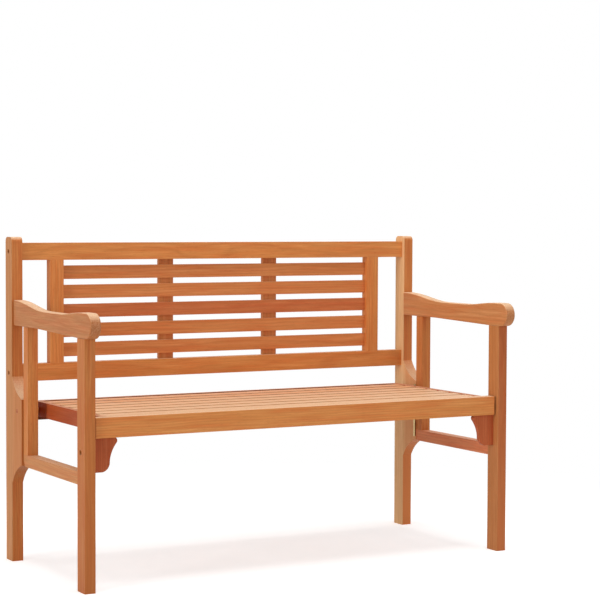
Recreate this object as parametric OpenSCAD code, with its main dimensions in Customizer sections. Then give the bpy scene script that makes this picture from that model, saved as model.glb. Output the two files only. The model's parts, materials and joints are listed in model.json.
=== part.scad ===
// Folding garden bench in oiled hardwood.
// The seat swings up against the back, and the two side frames then fold in front of it on butt hinges.
// X runs along the bench, Y towards the back, Z up. The origin lies on the ground under the middle.
// Depths named "from the rear" are measured forward from the rear face of the posts.

/* [Overall] */
// Width over the rear posts
bench_w = 1200; // [1100:10:1400]
// Height of the rear posts
bench_h = 823; // [800:1:900]

/* [Rear posts] */
// Thickness of a post across the bench
post_t = 29; // [26:1:34]
// Depth of a post from front to back
post_d = 43; // [38:1:50]
// Radius of the rounded front and rear edges of a post's top
post_top_r = 12; // [4:1:18]
// How far the widened ear stands forward of the post
ear_out = 67; // [62:1:74]
// Lower end of the ear's straight front edge
ear_z0 = 252; // [240:1:256]
// Upper end of the ear's straight front edge
ear_z1 = 418; // [412:1:440]
// Height of the curve that leads out of the post, at each end of the ear
ear_flare_h = 52; // [40:1:58]
// How hollow that curve is
ear_flare_bow = 9; // [4:1:12]

/* [Backrest] */
// Thickness of the rails and stiles of the back
back_rail_t = 26; // [22:1:30]
// How far the back's rails stand behind the front face of the posts
back_rail_inset = 10; // [4:1:12]
// Height of the top rail
top_rail_h = 44; // [38:1:50]
// How far the top rail stays below the top of the posts
top_rail_drop = 15; // [15:1:24]
// Height of the lower rail of the back
lower_back_rail_h = 44; // [36:1:50]
// Height of the underside of the lower rail above the ground
lower_back_rail_z = 456; // [450:1:466]
// Width of a stile
stile_w = 37; // [30:1:45]
// Open gap between a post and the stile beside it
stile_gap = 79; // [60:1:100]
// Number of horizontal slats in the back
back_slat_n = 5; // [4:1:6]
// Height of a back slat
back_slat_h = 35; // [30:1:38]
// Thickness of a back slat
back_slat_t = 10; // [8:1:11]
// How far the slats stand behind the front of the stiles
back_slat_recess = 13; // [9:1:13]
// Distance of each back batten's middle from the middle of the bench
back_batten_x = 156; // [120:1:200]

/* [Seat] */
// Height of the seat's top
seat_z = 408; // [404:1:412]
// How far the front of the seat stands behind the front of the front legs
seat_setback = 9; // [6:1:14]
// How far the seat reaches behind its pivot
seat_behind_pivot = 28; // [26:1:32]
// Running clearance between each end of the seat and a front leg
seat_end_gap = 5; // [3:0.5:7]
// Thickness of the front rail
front_rail_t = 29; // [26:1:32]
// Thickness of the rear rail
rear_rail_t = 15; // [13:1:18]
// Height of the front and rear rails
seat_rail_h = 48; // [44:1:48]
// Thickness of a side rail
side_rail_t = 21; // [18:1:26]
// Height of a side rail
side_rail_h = 38; // [34:1:42]
// How far a side rail stands in from the ends of the long rails
side_rail_inset = 21; // [14:1:30]
// Number of seat slats
seat_slat_n = 7; // [5:1:7]
// Width of a seat slat
seat_slat_w = 47; // [42:1:50]
// Thickness of a seat slat
seat_slat_t = 12; // [10:1:14]
// How far the slats lie below the tops of the seat's rails
seat_slat_drop = 1; // [0:0.5:2]
// Distance of each seat batten's middle from the middle of the bench
seat_batten_x = 168; // [120:1:220]
// Length of the two short edges of a corner block
corner_block_leg = 66; // [50:1:80]
// Thickness of a corner block
corner_block_t = 18; // [14:1:18]

/* [Battens] */
// Width of the battens behind the back and under the seat
batten_w = 42; // [34:1:50]
// Thickness of a back batten
back_batten_t = 10; // [8:1:10]
// Thickness of a seat batten
seat_batten_t = 12; // [10:1:16]

/* [Side frames] */
// How far the side frames stand in from the outer faces of the posts
frame_inset = 4; // [2:1:10]
// Thickness of leg, upright and lower rail across the bench
frame_t = 27; // [24:1:30]
// Front of the front leg, from the rear
leg_front = 508; // [500:1:520]
// Depth of a front leg
leg_d = 45; // [40:1:50]
// Depth of the rear upright
upright_d = 30; // [26:1:40]
// Height of the lower rail's underside above the ground
frame_rail_z = 251; // [244:1:256]
// Height of the lower rail
frame_rail_h = 30; // [26:1:36]
// Thickness of an armrest across the bench
arm_t = 27; // [25:1:36]
// Running gap between an armrest's rear end and the post
arm_rear_gap = 1; // [0.5:0.5:3]
// Height of the armrest's underside at its rear
arm_under_rear = 600; // [590:1:610]
// Height of the armrest's underside on the front leg
arm_under_front = 593; // [586:1:600]
// Height of the armrest's top at its raised rear end
arm_top_rear = 664; // [655:1:680]
// Height of the armrest's top in the dip
arm_top_dip = 644; // [634:1:648]
// Radius of the round front end of the armrest
arm_knob_r = 30; // [26:1:32]
// How far the round front end stands forward of the leg
arm_knob_out = 35; // [24:1:40]
// Rear end of the armrest's dip, from the rear
arm_dip_rear = 250; // [220:5:280]
// Front end of the armrest's dip, from the rear
arm_dip_front = 350; // [320:5:380]

/* [Seat brackets] */
// Width of a bracket at its top
bracket_w = 64; // [56:1:76]
// Height of a bracket
bracket_h = 81; // [68:1:90]
// How far the front of a bracket stands behind the front of the leg
bracket_setback = 20; // [16:1:22]
// Thickness of a bracket
bracket_t = 12; // [11:1:24]
// Gap between the bracket's top and the seat's front rail
bracket_rest_gap = 0.3; // [0.2:0.1:0.6]

/* [Hinges and pivots] */
// Height of a butt hinge
hinge_h = 63; // [50:1:70]
// Gap between the two hinges of a side
hinge_gap = 19; // [12:1:24]
// Width of a hinge leaf from the pin to its free edge
leaf_w = 26; // [22:1:28]
// Thickness of a hinge leaf
leaf_t = 1.8; // [1.4:0.1:2]
// Running gap between two closed leaves
leaf_play = 0.4; // [0.3:0.1:0.8]
// Outer radius of a hinge knuckle
knuckle_r = 3; // [2.6:0.1:3.4]
// Radius of a hinge pin
pin_r = 1.6; // [1.2:0.1:1.8]
// Running clearance round a pin or a bolt
pin_clear = 0.1; // [0.05:0.05:0.2]
// Pivot of the seat, from the rear
pivot_d = 78; // [77:1:80]
// Height of the seat's pivot
pivot_z = 386; // [386:1:388]
// Radius of a pivot bolt
pivot_r = 3; // [2.5:0.5:3.5]
// Radius of the turned spacer on a pivot bolt
spacer_r = 8; // [6:0.5:8]
// Radius of a counterbore for a bolt head
bore_head_r = 6; // [5.5:0.5:8]

/* [Hidden] */
$fn = 48;

// Colours
wood = "#C98450";
wood_light = "#D8965F";
wood_red = "#A8562F";
brass_colour = "#C9B06A";
steel_colour = "#8E8E8C";

// Where the main faces lie
bench_d = leg_front + arm_knob_out;
half_w = bench_w / 2;
post_in = half_w - post_t;
ear_front = post_d + ear_out;
frame_out = half_w - frame_inset;
frame_in = frame_out - frame_t;
upright_rear = ear_front + 2 * leaf_t + leaf_play;
leg_rear = leg_front - leg_d;

// Backrest
back_front = post_d - back_rail_inset;
back_rear = back_front - back_rail_t;
top_rail_z1 = bench_h - top_rail_drop;
top_rail_z0 = top_rail_z1 - top_rail_h;
lower_back_rail_z1 = lower_back_rail_z + lower_back_rail_h;
back_opening_h = top_rail_z0 - lower_back_rail_z1;
back_slat_gap = (back_opening_h - back_slat_n * back_slat_h) / (back_slat_n + 1);
back_slat_front = back_front - back_slat_recess;
back_slat_rear = back_slat_front - back_slat_t;
stile_out = post_in - stile_gap;
stile_in = stile_out - stile_w;
slat_housing = 8;
tenon_t = 9;
tenon_l = 14;

// Seat
seat_front = leg_front - seat_setback;
seat_rear = pivot_d - seat_behind_pivot;
seat_half = frame_in - seat_end_gap;
side_out = seat_half - side_rail_inset;
side_in = side_out - side_rail_t;
seat_rail_z0 = seat_z - seat_rail_h;
side_rail_z0 = seat_z - side_rail_h;
front_rail_rear = seat_front - front_rail_t;
rear_rail_front = seat_rear + rear_rail_t;
seat_slat_gap = (front_rail_rear - rear_rail_front - seat_slat_n * seat_slat_w) / (seat_slat_n + 1);
seat_slat_z1 = seat_z - seat_slat_drop;
seat_slat_z0 = seat_slat_z1 - seat_slat_t;
seat_batten_z0 = seat_slat_z0 - seat_batten_t;

// Hinges
hinge_pin_x = frame_in - knuckle_r - 0.2;
hinge_pin_d = ear_front + leaf_t + leaf_play / 2;
hinge_z0 = (ear_z0 + ear_z1 - 2 * hinge_h - hinge_gap) / 2;
hinge_zs = [hinge_z0, hinge_z0 + hinge_h + hinge_gap];
knuckle_n = 5;
knuckle_gap = 0.3;
screw_zs = [0.16, 0.5, 0.84];
screw_head_r = 3;
screw_shank_r = 1.3;
screw_l = 14;
recess_l = 3.4;
recess_w = 0.9;
recess_deep = 1.2;

// Bolts
rail_bolt_r = 3;
rail_bolt_l = 62;
bolt_head_h = 4;
bolt_head_gap = 0.5;
head_sunk = 7;
barrel_r = 5;
barrel_l = 17;
barrel_sunk = 1;
rail_bolt_d = (back_front + back_rear) / 2;
rail_bolt_zs = [top_rail_z0 + top_rail_h / 2, lower_back_rail_z + lower_back_rail_h / 2];
plug_t = 3;
insert_r = 5;
insert_l = 15;
bracket_z1 = seat_rail_z0 - bracket_rest_gap;
bracket_z0 = bracket_z1 - bracket_h;
bracket_front = leg_front - bracket_setback;
bracket_mid_d = bracket_front - bracket_t / 2;
bracket_bolt_z = bracket_z0 + 0.6 * bracket_h;
bracket_bolt_l = 48;
bracket_nose_r = 8;

// Curves of the armrest
arm_heel_r = 8;
arm_heel_level = 6;
arm_under_level = 60;
arm_leg_level = 8;
arm_crest_level = 24;

// The Y of a depth from the rear face of the posts
function y_at(d) = bench_d / 2 - d;

// Points of an arc from p to q that bows out by bow to the left of the way from p to q
function arc_points(p, q, bow, n = 14) =
  let (
    chord = norm(q - p),
    r = (chord * chord / 4 + bow * bow) / (2 * abs(bow)),
    along = (q - p) / chord,
    left = [-along[1], along[0]] * sign(bow),
    centre = (p + q) / 2 - left * (r - abs(bow)),
    half = asin(chord / 2 / r)
  )
  [for (i = [0:n]) let (a = half * (2 * i / n - 1)) centre + along * r * sin(a) + left * r * cos(a)];

// Points of a smooth rise or fall from p to q that is level at both ends
function wave_points(p, q, n = 14) =
  [for (i = [1:n]) [p[0] + (q[0] - p[0]) * i / n, p[1] + (q[1] - p[1]) * (1 - cos(180 * i / n)) / 2]];

// A board of thickness t whose face lies across the bench: depths and heights, from x outwards
module upright_board(x, t, points) {
  translate([x, 0, 0])
    rotate([90, 0, 90])
      linear_extrude(t) polygon([for (p = points) [y_at(p[0]), p[1]]]);
}

// A plain block between two depths from the rear
module block(x0, x1, d0, d1, z0, z1) {
  translate([x0, y_at(d1), z0]) cube([x1 - x0, d1 - d0, z1 - z0]);
}

// A round bar along X
module bar_x(x0, x1, d, z, r) {
  translate([x0, y_at(d), z]) rotate([0, 90, 0]) cylinder(r = r, h = x1 - x0);
}

// Draws its children on the right side, or mirrored on the left side
module on_side(side) {
  if (side == "left") mirror([1, 0, 0]) children();
  else children();
}

module both_sides() {
  children();
  mirror([1, 0, 0]) children();
}

// Rear post with the ear that carries the seat's pivot and the hinges
module post_outline() {
  low = arc_points([post_d, ear_z0 - ear_flare_h], [ear_front, ear_z0], ear_flare_bow);
  high = arc_points([ear_front, ear_z1], [post_d, ear_z1 + ear_flare_h], ear_flare_bow);
  r = post_top_r;
  top = concat(
    [for (i = [0:8]) [post_d - r + r * cos(i * 90 / 8), bench_h - r + r * sin(i * 90 / 8)]],
    [for (i = [0:8]) [r - r * sin(i * 90 / 8), bench_h - r + r * cos(i * 90 / 8)]]
  );
  upright_board(post_in, post_t, concat([[0, 0], [post_d, 0]], low, high, top));
}

module post(side) {
  color(wood) on_side(side) difference() {
    post_outline();
    for (z = rail_bolt_zs) {
      bar_x(post_in - 1, half_w + 1, rail_bolt_d, z, rail_bolt_r + pin_clear);
      bar_x(half_w - head_sunk - bolt_head_h, half_w + 1, rail_bolt_d, z, bore_head_r);
    }
    bar_x(post_in - 1, half_w + 1, pivot_d, pivot_z, pivot_r + pin_clear);
    bar_x(half_w - head_sunk - bolt_head_h, half_w + 1, pivot_d, pivot_z, bore_head_r);
    post_screws(pin_clear);
  }
}

// Backrest frame
module rail_bolt_holes(z) {
  both_sides() {
    bar_x(half_w - head_sunk - bolt_head_h - rail_bolt_l - 2, post_in + 1, rail_bolt_d, z, rail_bolt_r + pin_clear);
    barrel(z, pin_clear, barrel_sunk + 1);
  }
}

// The cross nut that a rail bolt screws into. Its hole is open at the rear of the rail.
module barrel(z, clear, extra) {
  x = half_w - head_sunk - bolt_head_h - rail_bolt_l + barrel_r + 3;
  translate([x, y_at(back_rear + barrel_sunk - extra), z])
    rotate([90, 0, 0]) cylinder(r = barrel_r + clear, h = barrel_l + extra);
}

module stile_tenons() {
  both_sides() {
    block(stile_in + 6, stile_out - 6, rail_bolt_d - tenon_t / 2, rail_bolt_d + tenon_t / 2,
      top_rail_z0, top_rail_z0 + tenon_l);
    block(stile_in + 6, stile_out - 6, rail_bolt_d - tenon_t / 2, rail_bolt_d + tenon_t / 2,
      lower_back_rail_z1 - tenon_l, lower_back_rail_z1);
  }
}

module back_rail(z0, z1) {
  color(wood) difference() {
    block(-post_in, post_in, back_rear, back_front, z0, z1);
    rail_bolt_holes((z0 + z1) / 2);
    stile_tenons();
  }
}

module back_slat_body(i) {
  z = top_rail_z0 - i * (back_slat_gap + back_slat_h);
  block(-stile_in - slat_housing, stile_in + slat_housing, back_slat_rear, back_slat_front, z, z + back_slat_h);
}

module stile(side) {
  color(wood) union() {
    difference() {
      on_side(side) block(stile_in, stile_out, back_rear, back_front, lower_back_rail_z1, top_rail_z0);
      for (i = [1:back_slat_n]) back_slat_body(i);
    }
    intersection() {
      stile_tenons();
      on_side(side) block(0, half_w, 0, post_d, 0, bench_h);
    }
  }
}

module back_slat(i) {
  if (i <= back_slat_n)
    color(i == 3 ? wood_red : wood) difference() {
      back_slat_body(i);
      back_screws(pin_clear);
    }
}

module back_batten(side) {
  color(wood) on_side(side) difference() {
    block(back_batten_x - batten_w / 2, back_batten_x + batten_w / 2, back_slat_rear - back_batten_t,
      back_slat_rear, lower_back_rail_z1, top_rail_z0);
    back_screws(pin_clear);
  }
}

// A countersunk wood screw with its head's face at the origin, pointing along +Z, and a cross recess in it.
// As a hole it has a clearance instead of the recess, and a pocket that lets the head in.
module wood_screw(length, clear = 0, pocket = 0) {
  difference() {
    union() {
      cylinder(r1 = screw_head_r + clear, r2 = screw_shank_r + clear, h = screw_head_r - screw_shank_r);
      cylinder(r = screw_shank_r + clear, h = length + clear);
      if (pocket > 0) translate([0, 0, -pocket]) cylinder(r = screw_head_r + clear, h = pocket);
    }
    if (clear == 0)
      for (a = [0, 90])
        rotate(a) translate([-recess_l / 2, -recess_w / 2, -1]) cube([recess_l, recess_w, 1 + recess_deep]);
  }
}

module back_screws(clear) {
  both_sides()
    for (i = [1:back_slat_n])
      translate([back_batten_x, y_at(back_slat_rear - back_batten_t),
        top_rail_z0 - i * (back_slat_gap + back_slat_h) + back_slat_h / 2])
        rotate([90, 0, 0]) wood_screw(back_batten_t + back_slat_t - 3, clear);
}

// Bolts of the back, seen at the bottom of open counterbores
module hex_bolt(x_head, d, z, r, length) {
  bar_x(x_head - length, x_head, d, z, r);
  difference() {
    bar_x(x_head, x_head + bolt_head_h, d, z, bore_head_r - bolt_head_gap);
    translate([x_head + bolt_head_h - 2, y_at(d), z]) rotate([0, 90, 0]) cylinder(r = 2.6, h = 3, $fn = 6);
  }
}

module rail_bolts() {
  color(steel_colour) both_sides()
    for (z = rail_bolt_zs) hex_bolt(half_w - head_sunk - bolt_head_h, rail_bolt_d, z, rail_bolt_r, rail_bolt_l);
}

module rail_barrel_nuts() {
  color(steel_colour) both_sides()
    for (z = rail_bolt_zs) difference() {
      barrel(z, 0, 0);
      bar_x(0, half_w, rail_bolt_d, z, rail_bolt_r + pin_clear);
    }
}

// Pivot of the seat
module pivot_bolts() {
  color(steel_colour) both_sides()
    hex_bolt(half_w - head_sunk - bolt_head_h, pivot_d, pivot_z, pivot_r,
      half_w - head_sunk - bolt_head_h - side_out + insert_l);
}

module pivot_plugs() {
  color(wood_light) both_sides() bar_x(half_w - plug_t, half_w, pivot_d, pivot_z, bore_head_r);
}

module pivot_spacers() {
  color(wood) both_sides() difference() {
    bar_x(side_out + 0.3, post_in, pivot_d, pivot_z, spacer_r);
    bar_x(0, half_w, pivot_d, pivot_z, pivot_r + pin_clear);
  }
}

module pivot_inserts() {
  color(brass_colour) both_sides() difference() {
    bar_x(side_out - insert_l, side_out, pivot_d, pivot_z, insert_r);
    bar_x(0, half_w, pivot_d, pivot_z, pivot_r + pin_clear);
  }
}

// One leaf of a butt hinge. Its plate lies between d0 and d1, and its own knuckles have the parity own.
module hinge_leaf(z0, d0, d1, own) {
  seg = hinge_h / knuckle_n;
  difference() {
    union() {
      block(hinge_pin_x, hinge_pin_x + leaf_w, d0, d1, z0, z0 + hinge_h);
      for (i = [0:knuckle_n - 1])
        if (i % 2 == own)
          translate([hinge_pin_x, y_at(hinge_pin_d), z0 + i * seg + (i == 0 ? 0 : knuckle_gap / 2)])
            cylinder(r = knuckle_r, h = seg - (i == 0 || i == knuckle_n - 1 ? 0.5 : 1) * knuckle_gap);
    }
    for (i = [0:knuckle_n - 1])
      if (i % 2 != own)
        translate([hinge_pin_x - knuckle_r - 1, y_at(hinge_pin_d) - knuckle_r - 1, z0 + i * seg - knuckle_gap / 2])
          cube([2 * knuckle_r + 1.4, 2 * knuckle_r + 2, seg + knuckle_gap]);
    translate([hinge_pin_x, y_at(hinge_pin_d), z0 - 1]) cylinder(r = pin_r + pin_clear, h = hinge_h + 2);
  }
}

module post_hinge_leaves(side) {
  color(brass_colour) on_side(side) difference() {
    for (z = hinge_zs) hinge_leaf(z, ear_front, ear_front + leaf_t, 0);
    post_screws(pin_clear);
  }
}

module frame_hinge_leaves(side) {
  color(brass_colour) on_side(side) difference() {
    for (z = hinge_zs) hinge_leaf(z, upright_rear - leaf_t, upright_rear, 1);
    frame_screws(pin_clear);
  }
}

module hinge_pins() {
  color(brass_colour) both_sides()
    for (z = hinge_zs)
      translate([hinge_pin_x, y_at(hinge_pin_d), z]) {
        cylinder(r = pin_r, h = hinge_h);
        translate([0, 0, hinge_h]) cylinder(r = pin_r + 0.8, h = 1);
      }
}

// The hinge screws sit in the middle of the wood that the leaf lies on
hinge_screw_x = (post_in + frame_out) / 2;

module post_screws(clear) {
  for (z = hinge_zs, k = screw_zs)
    translate([hinge_screw_x, y_at(ear_front + leaf_t), z + k * hinge_h])
      rotate([-90, 0, 0]) wood_screw(screw_l, clear);
}

module frame_screws(clear) {
  for (z = hinge_zs, k = screw_zs)
    translate([hinge_screw_x, y_at(upright_rear - leaf_t), z + k * hinge_h])
      rotate([90, 0, 0]) wood_screw(screw_l, clear);
}

module post_hinge_screws() {
  color(brass_colour) both_sides() post_screws(0);
}

module frame_hinge_screws(side) {
  color(brass_colour) on_side(side) frame_screws(0);
}

// Seat frame
module side_rail_tenons() {
  z0 = side_rail_z0 + 8;
  z1 = seat_slat_z0 - 4;
  x0 = (side_in + side_out - tenon_t) / 2;
  both_sides() {
    block(x0, x0 + tenon_t, front_rail_rear, front_rail_rear + tenon_l, z0, z1);
    block(x0, x0 + tenon_t, rear_rail_front - tenon_l / 2, rear_rail_front, z0, z1);
  }
}

module seat_front_rail() {
  color(wood) difference() {
    block(-seat_half, seat_half, front_rail_rear, seat_front, seat_rail_z0, seat_z);
    side_rail_tenons();
    block_screws(pin_clear);
  }
}

module seat_rear_rail() {
  color(wood) difference() {
    block(-side_out, side_out, seat_rear, rear_rail_front, seat_rail_z0, seat_z);
    side_rail_tenons();
    block_screws(pin_clear);
  }
}

// Body of a seat slat up to the height z1
module seat_slat_body(i, z1) {
  d = front_rail_rear - i * (seat_slat_gap + seat_slat_w);
  block(-side_in - slat_housing, side_in + slat_housing, d, d + seat_slat_w, seat_slat_z0, z1);
}

module side_rail(side) {
  color(wood_red) union() {
    difference() {
      on_side(side) difference() {
        block(side_in, side_out, rear_rail_front, front_rail_rear, side_rail_z0, seat_z);
        bar_x(side_out - insert_l, side_out + 1, pivot_d, pivot_z, insert_r);
      }
      for (i = [1:seat_slat_n]) seat_slat_body(i, seat_z);
      block_screws(pin_clear);
    }
    intersection() {
      side_rail_tenons();
      on_side(side) block(0, half_w, 0, leg_front, 0, bench_h);
    }
  }
}

module seat_slat(i) {
  if (i <= seat_slat_n)
    color(wood_light) difference() {
      seat_slat_body(i, seat_slat_z1);
      seat_screws(pin_clear);
    }
}

module seat_batten(side) {
  color(wood) on_side(side) difference() {
    block(seat_batten_x - batten_w / 2, seat_batten_x + batten_w / 2, rear_rail_front, front_rail_rear,
      seat_batten_z0, seat_slat_z0);
    seat_screws(pin_clear);
  }
}

module seat_screws(clear) {
  both_sides()
    for (i = [1:seat_slat_n])
      translate([seat_batten_x, y_at(front_rail_rear - i * (seat_slat_gap + seat_slat_w) + seat_slat_w / 2),
        seat_batten_z0])
        wood_screw(seat_batten_t + seat_slat_t - 4, clear);
}

module corner_block_bodies() {
  z0 = side_rail_z0 + 3;
  leg = corner_block_leg;
  both_sides() {
    translate([side_in, y_at(front_rail_rear), z0])
      linear_extrude(corner_block_t) polygon([[0, 0], [0, leg], [-leg, 0]]);
    translate([side_in, y_at(rear_rail_front), z0])
      linear_extrude(corner_block_t) polygon([[0, 0], [-leg, 0], [0, -leg]]);
  }
}

// Each corner block has one screw into the side rail and one into the long rail
module block_screws(clear) {
  z = side_rail_z0 + 3 + corner_block_t / 2;
  off = 0.62 * corner_block_leg;
  head = (corner_block_leg - off) * 0.55;
  deep = clear > 0 ? corner_block_leg - off : 0;
  bite = rear_rail_t / 2;
  both_sides() {
    translate([side_in - head, y_at(front_rail_rear - off), z])
      rotate([0, 90, 0]) wood_screw(head + bite, clear, deep);
    translate([side_in - off, y_at(front_rail_rear - head), z])
      rotate([90, 0, 0]) wood_screw(head + bite, clear, deep);
    translate([side_in - head, y_at(rear_rail_front + off), z])
      rotate([0, 90, 0]) wood_screw(head + bite, clear, deep);
    translate([side_in - off, y_at(rear_rail_front + head), z])
      rotate([-90, 0, 0]) wood_screw(head + bite, clear, deep);
  }
}

module seat_corner_blocks() {
  color(wood_red) difference() {
    corner_block_bodies();
    block_screws(pin_clear);
  }
}

// Side frames
function arm_points() =
  let (
    rear = post_d + arm_rear_gap,
    knob_d = bench_d - arm_knob_r,
    knob_z = arm_under_front + arm_knob_r,
    crest_d = knob_d - arm_crest_level,
    r = arm_heel_r
  )
  concat(
    [for (i = [0:4]) [rear + r - r * cos(i * 90 / 4), arm_under_rear + r - r * sin(i * 90 / 4)]],
    [[upright_rear + upright_d + arm_under_level, arm_under_rear]],
    [[leg_rear - arm_leg_level, arm_under_front], [knob_d, arm_under_front]],
    [for (i = [1:23]) [knob_d + arm_knob_r * sin(i * 7.5), knob_z - arm_knob_r * cos(i * 7.5)]],
    [[knob_d, knob_z + arm_knob_r], [crest_d, knob_z + arm_knob_r]],
    wave_points([crest_d, knob_z + arm_knob_r], [arm_dip_front, arm_top_dip]),
    [[arm_dip_rear, arm_top_dip]],
    wave_points([arm_dip_rear, arm_top_dip], [rear + arm_heel_level, arm_top_rear]),
    [[rear, arm_top_rear]]
  );

module frame_tenons() {
  x0 = frame_in + (frame_t - tenon_t) / 2;
  x1 = x0 + tenon_t;
  block(x0, x1, leg_rear + 7, leg_front - 7, arm_under_front, arm_under_front + 2 * tenon_l);
  block(x0, x1, upright_rear + 5, upright_rear + upright_d - 5, arm_under_rear, arm_under_rear + 2 * tenon_l);
}

module rail_tenons() {
  x0 = frame_in + (frame_t - tenon_t) / 2;
  x1 = x0 + tenon_t;
  block(x0, x1, leg_rear, leg_rear + 2 * tenon_l, frame_rail_z + 5, frame_rail_z + frame_rail_h - 5);
  block(x0, x1, upright_rear + 5, upright_rear + upright_d - 5, frame_rail_z + frame_rail_h - tenon_l,
    frame_rail_z + frame_rail_h);
}

module armrest(side) {
  color(wood) on_side(side) difference() {
    upright_board(frame_out - arm_t, arm_t, arm_points());
    frame_tenons();
  }
}

module front_leg(side) {
  color(wood) on_side(side) difference() {
    union() {
      block(frame_in, frame_out, leg_rear, leg_front, 0, arm_under_front);
      intersection() {
        frame_tenons();
        block(0, half_w, leg_rear, leg_front, 0, bench_h);
      }
    }
    rail_tenons();
    bar_x(frame_in - 1, frame_out + 1, bracket_mid_d, bracket_bolt_z, rail_bolt_r + pin_clear);
    bar_x(frame_out - head_sunk - bolt_head_h, frame_out + 1, bracket_mid_d, bracket_bolt_z, bore_head_r);
  }
}

module arm_upright(side) {
  color(wood) on_side(side) difference() {
    union() {
      block(frame_in, frame_out, upright_rear, upright_rear + upright_d, frame_rail_z + frame_rail_h,
        arm_under_rear);
      intersection() {
        union() {
          frame_tenons();
          rail_tenons();
        }
        block(0, half_w, upright_rear, upright_rear + upright_d, 0, bench_h);
      }
    }
    frame_screws(pin_clear);
  }
}

module frame_lower_rail(side) {
  r = 0.6 * frame_rail_h;
  corner = [for (i = [0:6])
    [upright_rear + r - r * cos(i * 90 / 6), frame_rail_z + r - r * sin(i * 90 / 6)]];
  color(wood) on_side(side) difference() {
    union() {
      upright_board(frame_in, frame_t, concat(corner,
        [[leg_rear, frame_rail_z], [leg_rear, frame_rail_z + frame_rail_h],
          [upright_rear, frame_rail_z + frame_rail_h]]));
      intersection() {
        rail_tenons();
        block(0, half_w, leg_rear, leg_front, 0, bench_h);
      }
    }
    intersection() {
      rail_tenons();
      block(0, half_w, upright_rear, upright_rear + upright_d, 0, bench_h);
    }
    frame_screws(pin_clear);
  }
}

// Bracket under the end of the seat's front rail: a round nose, a hollow and a round foot
module seat_bracket(side) {
  w = bracket_w;
  h = bracket_h;
  r = bracket_nose_r;
  waist = [-0.7 * w, 0.3 * h];
  nose = [for (i = [0:8]) let (a = 90 + i * 125 / 8) [r - w + r * cos(a), h - r + r * sin(a)]];
  hollow = arc_points(nose[8], waist, 0.045 * h, 12);
  foot = arc_points(waist, [-0.42 * w, 0], -0.07 * h, 10);
  outline = concat(
    [[0, 0], [0, h]],
    nose,
    [for (i = [1:12]) hollow[i]],
    [for (i = [1:10]) foot[i]]
  );
  color(wood_red) on_side(side) difference() {
    translate([frame_in, y_at(bracket_front - bracket_t), bracket_z0])
      rotate([90, 0, 0]) linear_extrude(bracket_t) polygon(outline);
    bar_x(frame_out - head_sunk - bolt_head_h - bracket_bolt_l - 1, frame_in + 1, bracket_mid_d, bracket_bolt_z,
      rail_bolt_r + pin_clear);
  }
}

module bracket_bolt(side) {
  color(steel_colour) on_side(side)
    hex_bolt(frame_out - head_sunk - bolt_head_h, bracket_mid_d, bracket_bolt_z, rail_bolt_r, bracket_bolt_l);
}

post("left");  // left_post
post("right");  // right_post
back_rail(top_rail_z0, top_rail_z1);  // back_top_rail
back_rail(lower_back_rail_z, lower_back_rail_z1);  // back_lower_rail
stile("left");  // back_stile_left
stile("right");  // back_stile_right
back_slat(1);  // back_slat_1
back_slat(2);  // back_slat_2
back_slat(3);  // back_slat_3
back_slat(4);  // back_slat_4
back_slat(5);  // back_slat_5
back_batten("left");  // back_batten_left
back_batten("right");  // back_batten_right
color(brass_colour) back_screws(0);  // back_batten_screws
rail_bolts();
rail_barrel_nuts();
pivot_bolts();
pivot_plugs();
pivot_spacers();
post_hinge_leaves("left");  // post_hinge_leaves_left
post_hinge_leaves("right");  // post_hinge_leaves_right
hinge_pins();
post_hinge_screws();
seat_front_rail();
seat_rear_rail();
side_rail("left");  // seat_side_rail_left
side_rail("right");  // seat_side_rail_right
seat_slat(1);  // seat_slat_1
seat_slat(2);  // seat_slat_2
seat_slat(3);  // seat_slat_3
seat_slat(4);  // seat_slat_4
seat_slat(5);  // seat_slat_5
seat_slat(6);  // seat_slat_6
seat_slat(7);  // seat_slat_7
seat_batten("left");  // seat_batten_left
seat_batten("right");  // seat_batten_right
seat_corner_blocks();
color(brass_colour) seat_screws(0);  // seat_batten_screws
color(brass_colour) block_screws(0);  // corner_block_screws
pivot_inserts();
armrest("left");  // left_armrest
front_leg("left");  // left_front_leg
arm_upright("left");  // left_upright
frame_lower_rail("left");  // left_lower_rail
seat_bracket("left");  // left_seat_bracket
bracket_bolt("left");  // left_bracket_bolt
frame_hinge_leaves("left");  // left_frame_hinge_leaves
frame_hinge_screws("left");  // left_frame_hinge_screws
armrest("right");  // right_armrest
front_leg("right");  // right_front_leg
arm_upright("right");  // right_upright
frame_lower_rail("right");  // right_lower_rail
seat_bracket("right");  // right_seat_bracket
bracket_bolt("right");  // right_bracket_bolt
frame_hinge_leaves("right");  // right_frame_hinge_leaves
frame_hinge_screws("right");  // right_frame_hinge_screws
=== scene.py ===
"""Looks of a folding garden bench in oiled hardwood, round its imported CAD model. Metres, +Z up."""
import json
import math
import zlib
from collections import namedtuple

import bpy
import numpy as np
from mathutils import Matrix, Vector


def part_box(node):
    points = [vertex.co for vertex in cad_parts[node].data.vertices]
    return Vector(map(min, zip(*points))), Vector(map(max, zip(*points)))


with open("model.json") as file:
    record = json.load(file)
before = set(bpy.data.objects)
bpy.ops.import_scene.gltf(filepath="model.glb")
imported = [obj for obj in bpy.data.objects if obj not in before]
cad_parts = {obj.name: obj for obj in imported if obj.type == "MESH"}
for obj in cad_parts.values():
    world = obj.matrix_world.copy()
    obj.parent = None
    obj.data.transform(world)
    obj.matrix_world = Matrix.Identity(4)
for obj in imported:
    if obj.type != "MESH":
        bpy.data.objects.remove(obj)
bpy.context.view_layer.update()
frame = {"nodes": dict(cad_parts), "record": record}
NODES = frame["nodes"]
SLOT_OF = {row["node"]: row["material_slot"] for row in frame["record"]["subparts"]}
MM = 0.001

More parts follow.
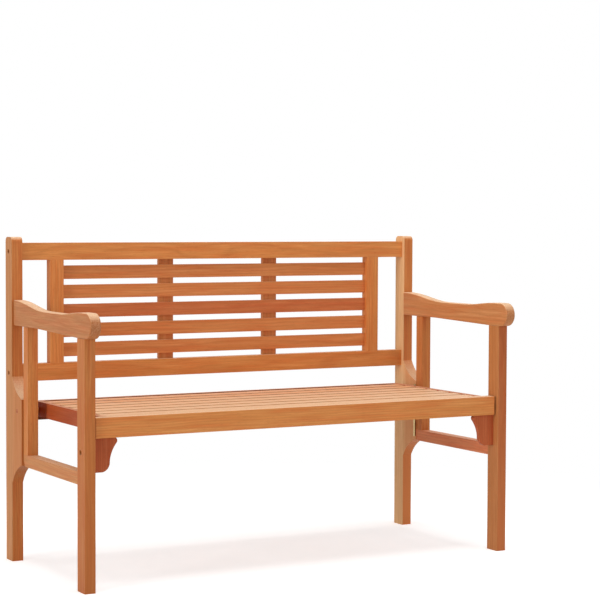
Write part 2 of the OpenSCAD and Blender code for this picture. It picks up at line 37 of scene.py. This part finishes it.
# The photograph's camera, solved from the bench's own edges: place, turn, tip and roll
CAMERA_AT = (-2.2178, -4.1321, 0.8772)
CAMERA_TURN = math.radians(-29.347)
CAMERA_TIP = math.radians(2.588)
CAMERA_ROLL = math.radians(0.224)
CAMERA_LENS = 109.44
CAMERA_REACH = 50
SENSOR = 36.0

# Each lamp's place, target, size and power. The key lamp is far to the left; the others fill its shadows.
LAMPS = {
    "key": ((-9.4, -2.6, 2.1), (0, 0, 0.35), (4.0, 4.0), 390),
    "top": ((0.0, -0.4, 4.2), (0, 0, 0.3), (3.0, 2.4), 120),
    "fill": ((2.0, -6.2, 2.4), (0, 0, 0.4), (3.0, 2.4), 55),
}

# The white surroundings: their strength as light, and as the camera and reflections see them
SKY_LIGHT = 0.38
SKY_SEEN = 1.0

# The floor: half its width, its reflectance, its glow near the bench, and where it fades to plain white
FLOOR_HALF = 9.0
FLOOR_WHITE = 0.8
FLOOR_GLOW = 0.5
FLOOR_FADE = (0.8, 1.8)

# Eased edges: the boards, the seat's slats, the back's slats, the moulded armrests and the metal
WOOD_EASE = 1.2 * MM
SLAT_EASE = 0.4 * MM
BACK_SLAT_EASE = 1.8 * MM
ARM_EASE = 2.6 * MM
METAL_EASE = 0.25 * MM
WOOD_STEPS = 3
METAL_STEPS = 2
SLATS = range(1, 8)
BACK_SLATS = range(1, 6)
WOOD_EASE_OF = {f"seat_slat_{n}": SLAT_EASE for n in SLATS}
WOOD_EASE_OF.update({f"back_slat_{n}": BACK_SLAT_EASE for n in BACK_SLATS})
WOOD_EASE_OF.update(left_armrest=ARM_EASE, right_armrest=ARM_EASE)

# How near points are joined, how flat a seam is dropped, and how sharp an edge is eased
JOIN_WITHIN = 0.004 * MM
FLAT_WITHIN = math.radians(0.6)
SHARP_FROM = math.radians(32)

# Oiled eucalyptus: a fine, slightly interlocked grain with soft bands, short open pores and a satin oil film.
# Each tone holds the pale early wood, the body colour, the dark late wood and the pores.
TONES = {
    "honey": ("#E29957", "#D68A47", "#B16733", "#834726"),
    "amber": ("#D08549", "#C4773B", "#A3592A", "#783D1E"),
    "tawny": ("#E0955A", "#D4864A", "#B06435", "#824527"),
    "ochre": ("#D0874B", "#C4793D", "#A35A2B", "#783E20"),
    "russet": ("#D4804F", "#C87340", "#A6562E", "#7A3B21"),
    "chestnut": ("#C47943", "#B96D36", "#995126", "#71371B"),
    "salmon": ("#C98B59", "#BE7D49", "#9D5D34", "#744027"),
    "rose": ("#EA9A6D", "#DD8B5A", "#B76841", "#884831"),
    "mahogany": ("#B25629", "#A84D21", "#8B3916", "#66250E"),
    "brick": ("#C0673C", "#B55C30", "#964421", "#6F2E18"),
    "peach": ("#DE995D", "#D1894D", "#AE6737", "#804729"),
    "sap_left": ("#C68855", "#BA7A45", "#9A5B31", "#723E24"),
    "sap_right": ("#EDBE8B", "#DFAB73", "#BA8154", "#8A5A40"),
    "coral": ("#D39662", "#C78750", "#A5653A", "#7A462B"),
    "umber": ("#BE6C3D", "#B36230", "#944821", "#6E3118"),
    "sap_leg": ("#C07E4B", "#B5713C", "#96552A", "#733E20"),
    "maple": ("#D98F50", "#CD8041", "#AA602F", "#7D4221"),
}

# The tone of each board, as the photograph shows it
BOARD_TONE = {
    "left_post": "amber", "right_post": "amber", "back_top_rail": "honey", "back_lower_rail": "honey",
    "back_stile_left": "honey", "back_stile_right": "honey",
    "back_slat_1": "tawny", "back_slat_2": "tawny", "back_slat_3": "russet", "back_slat_4": "tawny",
    "back_slat_5": "tawny", "back_batten_left": "tawny", "back_batten_right": "tawny",
    "pivot_plugs": "brick", "pivot_spacers": "chestnut",
    "seat_front_rail": "honey", "seat_rear_rail": "amber",
    "seat_side_rail_left": "mahogany", "seat_side_rail_right": "brick",
    "seat_batten_left": "amber", "seat_batten_right": "amber", "seat_corner_blocks": "russet",
    "left_armrest": "salmon", "left_front_leg": "ochre", "left_upright": "maple",
    "left_lower_rail": "coral", "left_seat_bracket": "brick",
    "right_armrest": "coral", "right_front_leg": "umber", "right_upright": "ochre",
    "right_lower_rail": "rose", "right_seat_bracket": "brick",
}
BOARD_TONE.update({f"seat_slat_{n}": "peach" for n in SLATS})

# The posts and the right leg were sawn beside the bark: their left faces hold pale sapwood, 2.2 mm deep at
# the rear and 0.02 mm thinner for each millimetre forward, with a soft edge. From 44 to 60 mm forward, on the
# ears of the posts, it turns browner.
SAPWOOD = {"left_post": "sap_left", "right_post": "sap_right", "right_front_leg": "sap_leg"}
SAP_DEPTH = 2.2 * MM
SAP_SLOPE = 0.02
SAP_EDGE = 0.8 * MM
SAP_FADE = (44 * MM, 60 * MM)
SAP_ON_EAR = 0.55

# Painted top light and sheen on faces that look up: the pale colour they are painted towards, and each board's
# share of it, largest on the front rows of the seat and smallest on the rows the backrest shades
TOP_LIGHT_PAINT = "#DFBA95"
TOP_LIGHT_SHARE = {"seat_front_rail": 1.0, "seat_slat_1": 0.95, "seat_slat_2": 0.95, "seat_slat_3": 0.88,
          "seat_slat_4": 0.8, "seat_slat_5": 0.78, "seat_slat_6": 0.45, "seat_slat_7": 0.45,
          "seat_rear_rail": 0.2, "left_armrest": 0.95, "right_armrest": 0.95, "left_post": 0.95,
          "right_post": 0.95}
TOP_LIGHT_SHARE.update({f"back_slat_{n}": 0.9 for n in BACK_SLATS})
TOP_LIGHT_SHARE_ELSE = 0.45

# Painted shade in the seat's gaps: how dark the narrow faces inside them are painted. Of the rear rail, only
# the front.
GAP_SHADE = {"seat_rear_rail": 1.0, "seat_slat_7": 0.95, "seat_slat_6": 0.8, "seat_slat_5": 0.75,
            "seat_slat_4": 0.45, "seat_slat_3": 0.4, "seat_slat_2": 0.3, "seat_slat_1": 0.3}

# Boards whose colour changes from the top to the foot: the foot's colour, and its share there. The right
# post's paler foot is painted light, lifting the shade on its lower part; the left leg turns darker towards
# its foot and the right leg paler.
FOOT = {"left_front_leg": ("#A35A2B", 0.55), "right_front_leg": ("#C27442", 0.6),
        "right_post": ("#DA844B", 0.9)}

# The figure of the wood, as layers of noise. Each has its length along the grain and its width across it in
# mm, its detail, the noise's values where it starts and is full, and the most that it hides of what is below:
# bands of colour, fibres, open pores, redder patches and the flecks of a cut end. Real pores are 0.2 mm wide;
# these are wider, so that they show.
Layer = namedtuple("Layer", "along across detail starts full most")
BAND = Layer(500, 11, 3.0, 0.32, 0.68, 1.0)
FIBRE = Layer(90, 2.4, 4.0, 0.35, 0.7, 0.42)
PORE = Layer(16, 0.8, 1.0, 0.63, 0.72, 1.0)
PATCH = Layer(120, 9, 2.0, 0.4, 0.65, 0.8)
FLECK = Layer(60, 3.2, 2.0, 0.42, 0.6, 1.0)
FIBRE_CRISP = 0.6
PORE_SHARE = 0.3

# The grain wanders sideways by up to 9 mm, slowly
WANDER = Layer(300, 90, 2.0, 0.0, 1.0, 1.0)
WANDER_SWING = 18

# Growth rings: the pith's distance from the board's middle, the gap between two rings, both in mm from least
# to most, the darkness at places from one ring to the next, and the most that the dark wood hides
PITH_FAR = (45, 130)
RING_GAP = (5.0, 8.0)
RING_DARK = ((0.72, 0.9), (0.30, 0.25))
RING_SHARE = 0.35

# How far along the grain, in mm, a board's figure starts from another's at most
BOARD_APART = 4000

# How squarely a face must look along the grain to be a cut end, up to take the painted top light, or forward
# to take the painted gap shade:
# where the effect starts, and where it is full
END_FACING = (0.55, 0.95)
UP_FACING = (0.35, 0.9)
GAP_FACING = (0.5, 0.95)
CUT_SHARE = 0.55
CUT_PALE = "#B5805D"

# Redder patches against the body colour, and the satin oil film
PATCH_TINT = (1.02, 0.8, 0.78, 1.0)
OIL_ROUGH = (0.48, 0.6)
ROUGH_FIBRE = (0.3, 0.7)
OIL_IOR = 1.47
OIL_SHEEN = 0.2

# Fibres stand about 0.05 mm high, and pores are about 0.1 mm deep
RELIEF = 0.12 * MM
RELIEF_STRENGTH = 0.35

# Brass: its two colours, its roughness, and its brushed lines, as lines for each metre along X, Y and Z:
# 0.7 mm apart and 17 mm high
BRASS = ("#D8C596", "#A58E5C")
BRASS_ROUGH = (0.26, 0.44)
BRUSHED = (1500, 1500, 60)
BRUSH_RELIEF = 0.02 * MM
BRUSH_STRENGTH = 0.2

# Zinc-plated steel: its two colours, its roughness, and its clouds for each metre, 2.5 mm across
ZINC = ("#8C8C8A", "#B4B4B0")
ZINC_ROUGH = (0.3, 0.5)
CLOUDED = (400, 400, 400)

# Turns the grain, which runs along a board's longest side, to X
AXES = "XYZ"
TURN_TO_X = {"X": (0, 0, 0), "Y": (0, 0, -math.pi / 2), "Z": (0, math.pi / 2, 0)}


def linear(colour):
    """An sRGB hex colour as linear RGBA."""
    parts = [int(colour[i:i + 2], 16) / 255 for i in (1, 3, 5)]
    return tuple(c / 12.92 if c <= 0.04045 else ((c + 0.055) / 1.055) ** 2.4 for c in parts) + (1.0,)


def add(tree, kind, inputs=None, **settings):
    """Adds a node with its settings. An input is a value, or the output socket that feeds it."""
    made = tree.nodes.new(kind)
    for name, value in settings.items():
        setattr(made, name, value)
    for key, value in (inputs or {}).items():
        if isinstance(value, bpy.types.NodeSocket):
            tree.links.new(value, made.inputs[key])
        else:
            made.inputs[key].default_value = value
    return made


def maths(tree, operation, *values):
    return add(tree, "ShaderNodeMath", dict(enumerate(values)), operation=operation).outputs[0]


def vectors(tree, operation, *values, output=0):
    return add(tree, "ShaderNodeVectorMath", dict(enumerate(values)), operation=operation).outputs[output]


def between(tree, value, low, high, least=0.0, most=1.0, **settings):
    """Where a value stands from low to high, told as least to most."""
    return add(tree, "ShaderNodeMapRange", {"Value": value, "From Min": low, "From Max": high,
                                            "To Min": least, "To Max": most}, **settings).outputs[0]


def mix(tree, share, below, above):
    """A colour laid on another at a share."""
    return add(tree, "ShaderNodeMix", {"Factor": share, 6: below, 7: above}, data_type="RGBA").outputs[2]


def noise(tree, at, layer, output="Fac", **inputs):
    """A layer's noise, stretched along the grain."""
    scaled = vectors(tree, "MULTIPLY", at, (1 / layer.along, 1 / layer.across, 1 / layer.across))
    inputs.update(Vector=scaled, Scale=1.0, Detail=layer.detail)
    return add(tree, "ShaderNodeTexNoise", inputs).outputs[output]


def share_of(tree, value, layer):
    """How much a layer hides where its noise has this value."""
    return between(tree, value, layer.starts, layer.full, most=layer.most)


def parts_of(tree, vector):
    return add(tree, "ShaderNodeSeparateXYZ", {0: vector}).outputs


def seed_of(name):
    """A random generator that depends on a piece's name alone."""
    return np.random.default_rng(zlib.crc32(name.encode()))


def new_material(name):
    made = bpy.data.materials.new(name)
    made.use_nodes = True
    made.node_tree.nodes.clear()
    return made, made.node_tree


def surface(tree, inputs):
    """Ends a material in one shader with these inputs."""
    shader = add(tree, "ShaderNodeBsdfPrincipled", inputs)
    add(tree, "ShaderNodeOutputMaterial", {"Surface": shader.outputs[0]})


def grain_axis(name):
    low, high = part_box(name)
    size = high - low
    return AXES[max(range(3), key=lambda i: size[i])]


def along_grain(tree, place, name, axis, dice):
    """A board's own coordinates in mm, from its middle, with X along the grain and a start of its own."""
    low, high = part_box(name)
    centre = add(tree, "ShaderNodeMapping", {
        "Vector": place.outputs["Object"], "Location": -(low + high) / 2}, vector_type="POINT")
    start = tuple(dice.uniform(-BOARD_APART, BOARD_APART, 1)) + (0, 0)
    turned = add(tree, "ShaderNodeMapping", {
        "Vector": centre.outputs[0], "Rotation": TURN_TO_X[axis], "Scale": (1 / MM, 1 / MM, 1 / MM),
        "Location": start}, vector_type="POINT")
    return turned.outputs[0]


def wander(tree, grain):
    """The grain's coordinates, bent sideways by a slow wander."""
    swing = vectors(tree, "SUBTRACT", noise(tree, grain, WANDER, output="Color"), (0.5, 0.5, 0.5))
    return vectors(tree, "MULTIPLY_ADD", swing, (0, WANDER_SWING, WANDER_SWING), grain)


def growth_rings(tree, bent, dice):
    """Dark late wood of the growth rings, round a pith that lies beside the board."""
    angle = dice.uniform(0, 2 * math.pi)
    pith = dice.uniform(*PITH_FAR)
    offset = (0, pith * math.cos(angle), pith * math.sin(angle))
    from_pith = vectors(tree, "MULTIPLY_ADD", bent, (0, 1, 1), offset)
    radius = vectors(tree, "LENGTH", from_pith, output="Value")
    ring = maths(tree, "MULTIPLY", radius, 1 / dice.uniform(*RING_GAP))
    dark = add(tree, "ShaderNodeValToRGB", {"Fac": maths(tree, "FRACT", ring)})
    steps = dark.color_ramp.elements
    for end in (0, 1):
        steps[end].color = (0, 0, 0, 1)
    for at, level in RING_DARK:
        steps.new(at).color = (level, level, level, 1)
    return maths(tree, "MULTIPLY", dark.outputs["Color"], RING_SHARE)


def cut_ends(tree, colour, place, grain, axis, late):
    """Cut ends drink more oil: flecked, and darker."""
    facing = vectors(tree, "DOT_PRODUCT", place.outputs["Normal"], [float(a == axis) for a in AXES],
                     output="Value")
    share = between(tree, maths(tree, "ABSOLUTE", facing), *END_FACING, most=CUT_SHARE)
    flecks = share_of(tree, noise(tree, grain, FLECK), FLECK)
    return mix(tree, share, colour, mix(tree, flecks, late, linear(CUT_PALE)))


def toward_foot(tree, colour, place, name):
    """A board that changes colour towards its foot; on the right post, painted light on its shaded lower part.
    """
    foot, share = FOOT[name]
    low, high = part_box(name)
    height = parts_of(tree, place.outputs["Object"])["Z"]
    return mix(tree, between(tree, height, low.z, high.z, least=share, most=0.0), colour, linear(foot))


def sapwood(tree, colour, place, name, bands, fibres):
    """Pale sapwood on the board's left side."""
    pale, body, late = (linear(c) for c in TONES[SAPWOOD[name]][:3])
    low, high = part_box(name)
    across = parts_of(tree, place.outputs["Object"])
    forward = maths(tree, "SUBTRACT", high.y, across["Y"])
    depth = maths(tree, "MULTIPLY_ADD", forward, SAP_SLOPE, maths(tree, "SUBTRACT", across["X"], low.x))
    layer = between(tree, depth, SAP_DEPTH, SAP_DEPTH + SAP_EDGE, least=1.0, most=0.0)
    share = maths(tree, "MULTIPLY", layer, between(tree, forward, *SAP_FADE, least=1.0, most=SAP_ON_EAR))
    pale_wood = mix(tree, fibres, mix(tree, bands, body, pale), late)
    return mix(tree, share, colour, pale_wood)


def painted_top_light(tree, colour, facing, name, fibres):
    """Painted top light and sheen on upper faces, less in the dark fibres."""
    upward = between(tree, facing["Z"], *UP_FACING, most=TOP_LIGHT_SHARE.get(name, TOP_LIGHT_SHARE_ELSE))
    spared = maths(tree, "MULTIPLY_ADD", fibres, -1.0, 1.0)
    return mix(tree, maths(tree, "MULTIPLY", upward, spared), colour, linear(TOP_LIGHT_PAINT))


def painted_gap_shade(tree, colour, facing, name, pore):
    """Painted shade on the narrow faces inside the seat's gaps."""
    narrow = maths(tree, "MULTIPLY", facing["Y"], -1.0)
    if name != "seat_rear_rail":
        narrow = maths(tree, "ABSOLUTE", narrow)
    return mix(tree, between(tree, narrow, *GAP_FACING, most=GAP_SHADE[name]), colour, pore)


def wood(name, tone, axis):
    """Oiled hardwood for one board, its grain along axis. The pattern is solid, so faces and ends agree."""
    pale, body, late, pore = (linear(c) for c in TONES[tone])
    dice = seed_of(name)
    made, tree = new_material("oiled_eucalyptus_" + name)
    place = add(tree, "ShaderNodeTexCoord")
    facing = parts_of(tree, place.outputs["Normal"])
    grain = along_grain(tree, place, name, axis, dice)
    bent = wander(tree, grain)
    rings = growth_rings(tree, bent, dice)
    bands = share_of(tree, noise(tree, bent, BAND), BAND)
    fibre = noise(tree, bent, FIBRE, Roughness=FIBRE_CRISP)
    fibres = share_of(tree, fibre, FIBRE)
    pores = share_of(tree, noise(tree, grain, PORE), PORE)
    patches = share_of(tree, noise(tree, grain, PATCH), PATCH)

    colour = mix(tree, bands, body, pale)
    colour = mix(tree, patches, colour, tuple(c * k for c, k in zip(body, PATCH_TINT)))
    colour = mix(tree, rings, colour, late)
    colour = mix(tree, fibres, colour, late)
    colour = mix(tree, maths(tree, "MULTIPLY", pores, PORE_SHARE), colour, pore)
    colour = cut_ends(tree, colour, place, grain, axis, late)
    # The right post's paler foot is painted light
    if name in FOOT:
        colour = toward_foot(tree, colour, place, name)
    if name in SAPWOOD:
        colour = sapwood(tree, colour, place, name, bands, fibres)
    # Painted top light: upper faces made paler, as if lit from above
    colour = painted_top_light(tree, colour, facing, name, fibres)
    # Painted shade on the narrow faces inside the seat's gaps
    if name in GAP_SHADE:
        colour = painted_gap_shade(tree, colour, facing, name, pore)

    height = maths(tree, "MULTIPLY_ADD", pores, -1.0, fibre)
    bump = add(tree, "ShaderNodeBump", {"Height": height, "Strength": RELIEF_STRENGTH, "Distance": RELIEF})
    surface(tree, {
        "Base Color": colour, "Roughness": between(tree, fibre, *ROUGH_FIBRE, *OIL_ROUGH),
        "Normal": bump.outputs[0], "IOR": OIL_IOR, "Specular IOR Level": OIL_SHEEN})
    return made


def brass():
    """Pressed sheet brass, lightly brushed and lacquered: pale yellow, with soft broken highlights."""
    made, tree = new_material("brushed_brass")
    place = add(tree, "ShaderNodeTexCoord")
    lines_at = add(tree, "ShaderNodeMapping", {"Vector": place.outputs["Object"], "Scale": BRUSHED})
    lines = add(tree, "ShaderNodeTexNoise", {
        "Vector": lines_at.outputs[0], "Scale": 1.0, "Detail": 3.0}).outputs["Fac"]
    bump = add(tree, "ShaderNodeBump", {"Height": lines, "Strength": BRUSH_STRENGTH, "Distance": BRUSH_RELIEF})
    surface(tree, {
        "Base Color": mix(tree, lines, *map(linear, BRASS)), "Metallic": 1.0,
        "Roughness": between(tree, lines, 0.0, 1.0, *BRASS_ROUGH), "Normal": bump.outputs[0]})
    return made


def zinc_steel():
    """Zinc-plated steel of bolts and nuts: grey, with a faint cloudy sheen."""
    made, tree = new_material("zinc_plated_steel")
    place = add(tree, "ShaderNodeTexCoord")
    clouds_at = add(tree, "ShaderNodeMapping", {"Vector": place.outputs["Object"], "Scale": CLOUDED})
    clouds = add(tree, "ShaderNodeTexNoise", {
        "Vector": clouds_at.outputs[0], "Scale": 1.0, "Detail": 4.0}).outputs["Fac"]
    surface(tree, {
        "Base Color": mix(tree, clouds, *map(linear, ZINC)), "Metallic": 1.0,
        "Roughness": between(tree, clouds, 0.0, 1.0, *ZINC_ROUGH)})
    return made


def ease_edges(obj, width, steps):
    """Joins a CAD node's loose triangles, drops the seams inside flat faces, and rounds its sharp edges."""
    weld = obj.modifiers.new("weld", "WELD")
    weld.merge_threshold = JOIN_WITHIN
    flat = obj.modifiers.new("flat", "DECIMATE")
    flat.decimate_type = "DISSOLVE"
    flat.angle_limit = FLAT_WITHIN
    ease = obj.modifiers.new("ease", "BEVEL")
    ease.width = width
    ease.segments = steps
    ease.limit_method = "ANGLE"
    ease.angle_limit = SHARP_FROM
    ease.use_clamp_overlap = True
    ease.harden_normals = False
    shade = obj.modifiers.new("shade", "WEIGHTED_NORMAL")
    shade.keep_sharp = True


def dress():
    """Gives every CAD node its material and eased edges."""
    metals = {"brass": brass(), "zinc_plated_steel": zinc_steel()}
    for name, obj in NODES.items():
        slot = SLOT_OF[name]
        if slot in metals:
            look = metals[slot]
            ease_edges(obj, METAL_EASE, METAL_STEPS)
        else:
            look = wood(name, BOARD_TONE[name], grain_axis(name))
            ease_edges(obj, WOOD_EASE_OF.get(name, WOOD_EASE), WOOD_STEPS)
        obj.data.materials.clear()
        obj.data.materials.append(look)


def camera():
    data = bpy.data.cameras.new("camera")
    data.lens = CAMERA_LENS
    data.sensor_width = SENSOR
    data.sensor_fit = "HORIZONTAL"
    data.clip_end = CAMERA_REACH
    cam = bpy.data.objects.new("camera", data)
    bpy.context.scene.collection.objects.link(cam)
    sin, cos = math.sin, math.cos
    look = Vector((-sin(CAMERA_TURN) * cos(CAMERA_TIP), cos(CAMERA_TURN) * cos(CAMERA_TIP), -sin(CAMERA_TIP)))
    level = Vector((cos(CAMERA_TURN), sin(CAMERA_TURN), 0))
    upright = level.cross(look)
    right = cos(CAMERA_ROLL) * level + sin(CAMERA_ROLL) * upright
    up = cos(CAMERA_ROLL) * upright - sin(CAMERA_ROLL) * level
    turn = Matrix((right, up, -look)).transposed().to_4x4()
    cam.matrix_world = Matrix.Translation(CAMERA_AT) @ turn
    bpy.context.scene.camera = cam


def lamp(name, at, target, size, power):
    data = bpy.data.lights.new(name, "AREA")
    data.shape = "RECTANGLE"
    data.size, data.size_y = size
    data.energy = power
    lit = bpy.data.objects.new(name, data)
    bpy.context.scene.collection.objects.link(lit)
    aim = (Vector(target) - Vector(at)).to_track_quat("-Z", "Y")
    lit.matrix_world = Matrix.Translation(at) @ aim.to_matrix().to_4x4()
    lit.visible_camera = False


def seen(tree, *rays):
    """1 for the camera's and reflected rays, and for the other rays that are named."""
    path = add(tree, "ShaderNodeLightPath").outputs
    value = path["Is Camera Ray"]
    for ray in ("Is Glossy Ray",) + rays:
        value = maths(tree, "MAXIMUM", value, path[ray])
    return value


def surroundings():
    """White all round, and dimmer as light than as the camera sees it."""
    world = bpy.data.worlds.new("surroundings")
    bpy.context.scene.world = world
    world.use_nodes = True
    tree = world.node_tree
    tree.nodes.clear()
    strength = between(tree, seen(tree, "Is Transmission Ray"), 0.0, 1.0, SKY_LIGHT, SKY_SEEN)
    sky = add(tree, "ShaderNodeBackground", {"Color": (1, 1, 1, 1), "Strength": strength})
    add(tree, "ShaderNodeOutputWorld", {"Surface": sky.outputs[0]})


def white_floor():
    """A matt pale floor that glows a little, keeps the bench's shadow and fades to white away from it."""
    made, tree = new_material("white_floor")
    matt = add(tree, "ShaderNodeBsdfDiffuse", {"Color": (FLOOR_WHITE, FLOOR_WHITE, FLOOR_WHITE, 1)})
    glow = add(tree, "ShaderNodeEmission", {"Color": (1, 1, 1, 1), "Strength": FLOOR_GLOW})
    near = add(tree, "ShaderNodeAddShader", {0: matt.outputs[0], 1: glow.outputs[0]})
    white = add(tree, "ShaderNodeEmission", {"Color": (1, 1, 1, 1), "Strength": 1.0})
    place = add(tree, "ShaderNodeTexCoord")
    away = vectors(tree, "LENGTH", place.outputs["Object"], output="Value")
    fade = between(tree, away, *FLOOR_FADE, interpolation_type="SMOOTHSTEP")
    shown = add(tree, "ShaderNodeMixShader", {0: fade, 1: near.outputs[0], 2: white.outputs[0]})
    mixed = add(tree, "ShaderNodeMixShader", {0: seen(tree), 1: matt.outputs[0], 2: shown.outputs[0]})
    add(tree, "ShaderNodeOutputMaterial", {"Surface": mixed.outputs[0]})
    return made


def floor():
    corners = [(x * FLOOR_HALF, y * FLOOR_HALF, 0) for x, y in ((-1, -1), (1, -1), (1, 1), (-1, 1))]
    mesh = bpy.data.meshes.new("floor")
    mesh.from_pydata(corners, [], [(0, 1, 2, 3)])
    mesh.materials.append(white_floor())
    ground = bpy.data.objects.new("floor", mesh)
    bpy.context.scene.collection.objects.link(ground)


def studio():
    """White floor and surroundings, soft light from above and from the left."""
    bpy.context.scene.view_settings.view_transform = "Standard"
    for name, settings in LAMPS.items():
        lamp(name, *settings)
    surroundings()
    floor()


camera()
dress()
studio()
